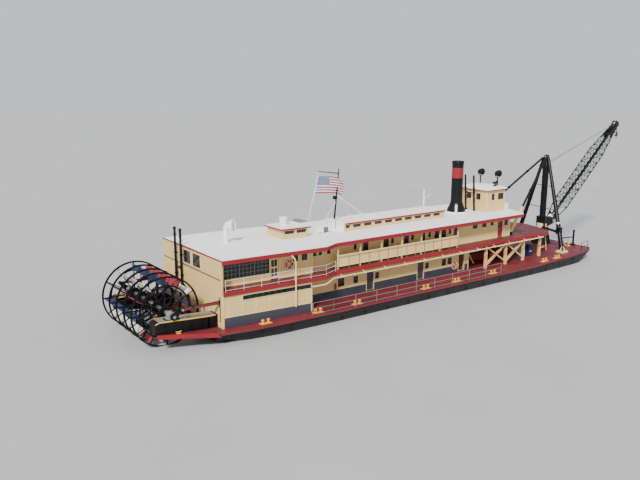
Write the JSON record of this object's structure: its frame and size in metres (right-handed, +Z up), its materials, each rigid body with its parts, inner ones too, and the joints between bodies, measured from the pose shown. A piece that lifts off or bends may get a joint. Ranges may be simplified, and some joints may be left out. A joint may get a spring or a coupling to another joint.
{
  "type": "sternwheel paddle boat with bow derrick, 1:2 scale model",
  "caption": "Flat-hulled sternwheel work boat with a two-storey deckhouse, paddle wheel aft, stack, pilothouse and a lattice-boom derrick at the bow.",
  "frame": {"origin": "on the flat bottom of the hull, on the centreline amidships", "axes": "+X towards the bow, +Y to port, +Z up"},
  "size_m": [32.9552, 6.32, 7.99],
  "materials": {
    "black_paint": "semi-gloss black paint",
    "deck_paint": "worn maroon deck paint",
    "grey_paint": "dark blue-grey paint",
    "cream_paint": "cream paint on boards",
    "white_paint": "matt white roof paint",
    "red_paint": "red paint",
    "steel": "oiled steel",
    "yellow_paint": "yellow paint on deck fittings",
    "glass": "dark window glass",
    "flag_cloth": "flag cloth"
  },
  "bodies": {
    "boat": {"hull": "black_paint", "main_deck": "deck_paint", "wheel_beam_port": "grey_paint", "wheel_beam_starboard": "grey_paint", "aft_wall": "cream_paint", "engine_bulkhead": "cream_paint", "lower_cabin_front": "cream_paint", "engine_room_port": "cream_paint", "engine_port": "grey_paint", "lower_cabin_port": "cream_paint", "bulwark_port": "cream_paint", "truss_port": "cream_paint", "gallery_port": "cream_paint", "upper_cabin_port": "cream_paint", "engine_room_starboard": "cream_paint", "engine_starboard": "grey_paint", "lower_cabin_starboard": "cream_paint", "bulwark_starboard": "cream_paint", "truss_starboard": "cream_paint", "gallery_starboard": "cream_paint", "upper_cabin_starboard": "cream_paint", "boiler": "grey_paint", "winch": "red_paint", "upper_deck": "deck_paint", "upper_bulkhead": "cream_paint", "upper_cabin_front": "cream_paint", "roof": "white_paint", "skylight": "cream_paint", "clerestory": "cream_paint", "pilothouse": "cream_paint", "pilothouse_roof": "white_paint", "stack": "black_paint", "steam_pipes": "black_paint", "cowl_vent": "white_paint", "flagmast": "black_paint", "flag": "flag_cloth", "exhaust_pipes": "black_paint", "a_frame_leg_port": "black_paint", "back_stay_port": "black_paint", "a_frame_leg_starboard": "black_paint", "back_stay_starboard": "black_paint", "a_frame_head": "black_paint"},
    "paddle_wheel": {"paddle_wheel": "black_paint", "wheel_shaft": "steel"},
    "pitman_port": {"pitman_port": "black_paint"},
    "pitman_starboard": {"pitman_starboard": "black_paint"},
    "rudder_port": {"rudder_port": "black_paint"},
    "rudder_center": {"rudder_center": "black_paint"},
    "rudder_starboard": {"rudder_starboard": "black_paint"},
    "derrick_mast": {"mast": "black_paint"},
    "derrick_boom": {"boom": "black_paint"},
    "hook_block": {"hook_block": "black_paint"},
    "lower_door_port_1": {"lower_door_port_1": "grey_paint"},
    "lower_door_port_2": {"lower_door_port_2": "grey_paint"},
    "gallery_door_port": {"gallery_door_port": "grey_paint"},
    "upper_door_port": {"upper_door_port": "red_paint"},
    "lower_door_starboard_1": {"lower_door_starboard_1": "grey_paint"},
    "lower_door_starboard_2": {"lower_door_starboard_2": "grey_paint"},
    "gallery_door_starboard": {"gallery_door_starboard": "grey_paint"},
    "upper_door_starboard": {"upper_door_starboard": "red_paint"}
  },
  "joints": [
    {"name": "wheel_turn", "type": "hinge", "parent": "boat", "child": "paddle_wheel", "pos_m": [-12.78, 0, 1.73], "axis": [0, 1, 0], "continuous": true},
    {"name": "pitman_port_pin", "type": "hinge", "parent": "paddle_wheel", "child": "pitman_port", "pos_m": [-13.04517, 2.395, 1.99517], "axis": [0, 1, 0], "continuous": true},
    {"name": "pitman_starboard_pin", "type": "hinge", "parent": "paddle_wheel", "child": "pitman_starboard", "pos_m": [-12.51483, -2.395, 1.99517], "axis": [0, 1, 0], "continuous": true},
    {"name": "rudder_center_turn", "type": "hinge", "parent": "boat", "child": "rudder_center", "pos_m": [-11.43, 0, 0.215], "axis": [0, 0, 1], "range_deg": [-35, 35]},
    {"name": "rudder_port_turn", "type": "hinge", "parent": "boat", "child": "rudder_port", "pos_m": [-11.43, 1.35, 0.215], "axis": [0, 0, 1], "range_deg": [-35, 35]},
    {"name": "rudder_starboard_turn", "type": "hinge", "parent": "boat", "child": "rudder_starboard", "pos_m": [-11.43, -1.35, 0.215], "axis": [0, 0, 1], "range_deg": [-35, 35]},
    {"name": "derrick_slew", "type": "hinge", "parent": "boat", "child": "derrick_mast", "pos_m": [11.675, 0, 2.065], "axis": [0, 0, 1], "range_deg": [-60, 60]},
    {"name": "boom_luff", "type": "hinge", "parent": "derrick_mast", "child": "derrick_boom", "pos_m": [12.35, 0, 2.315], "axis": [0, -1, 0], "range_deg": [-27, 20]},
    {"name": "hook_hang", "type": "hinge", "parent": "derrick_boom", "child": "hook_block", "pos_m": [18.73525, 0, 7.72374], "axis": [0, -1, 0], "range_deg": [-27, 30]},
    {"name": "lower_door_port_1_hinge", "type": "hinge", "parent": "boat", "child": "lower_door_port_1", "pos_m": [-3.1925, 1.615, 1.365], "axis": [0, 0, 1], "range_deg": [0, 100]},
    {"name": "lower_door_port_2_hinge", "type": "hinge", "parent": "boat", "child": "lower_door_port_2", "pos_m": [-0.0425, 1.615, 1.365], "axis": [0, 0, 1], "range_deg": [0, 100]},
    {"name": "gallery_door_port_hinge", "type": "hinge", "parent": "boat", "child": "gallery_door_port", "pos_m": [-8.5025, 1.965, 2.815], "axis": [0, 0, 1], "range_deg": [0, 100]},
    {"name": "upper_door_port_hinge", "type": "hinge", "parent": "boat", "child": "upper_door_port", "pos_m": [5.5575, 1.69, 2.79], "axis": [0, 0, 1], "range_deg": [0, 100]},
    {"name": "lower_door_starboard_1_hinge", "type": "hinge", "parent": "boat", "child": "lower_door_starboard_1", "pos_m": [-3.1925, -1.615, 1.365], "axis": [0, 0, -1], "range_deg": [0, 100]},
    {"name": "lower_door_starboard_2_hinge", "type": "hinge", "parent": "boat", "child": "lower_door_starboard_2", "pos_m": [-0.0425, -1.615, 1.365], "axis": [0, 0, -1], "range_deg": [0, 100]},
    {"name": "gallery_door_starboard_hinge", "type": "hinge", "parent": "boat", "child": "gallery_door_starboard", "pos_m": [-8.5025, -1.965, 2.815], "axis": [0, 0, -1], "range_deg": [0, 100]},
    {"name": "upper_door_starboard_hinge", "type": "hinge", "parent": "boat", "child": "upper_door_starboard", "pos_m": [5.5575, -1.69, 2.79], "axis": [0, 0, -1], "range_deg": [0, 100]}
  ],
  "couplings": [
    {"joint": "pitman_port_pin", "follows": "wheel_turn", "ratio": -1},
    {"joint": "pitman_starboard_pin", "follows": "wheel_turn", "ratio": -1},
    {"joint": "rudder_port_turn", "follows": "rudder_center_turn", "ratio": 1},
    {"joint": "rudder_starboard_turn", "follows": "rudder_center_turn", "ratio": 1},
    {"joint": "hook_hang", "follows": "boom_luff", "ratio": -1}
  ]
}
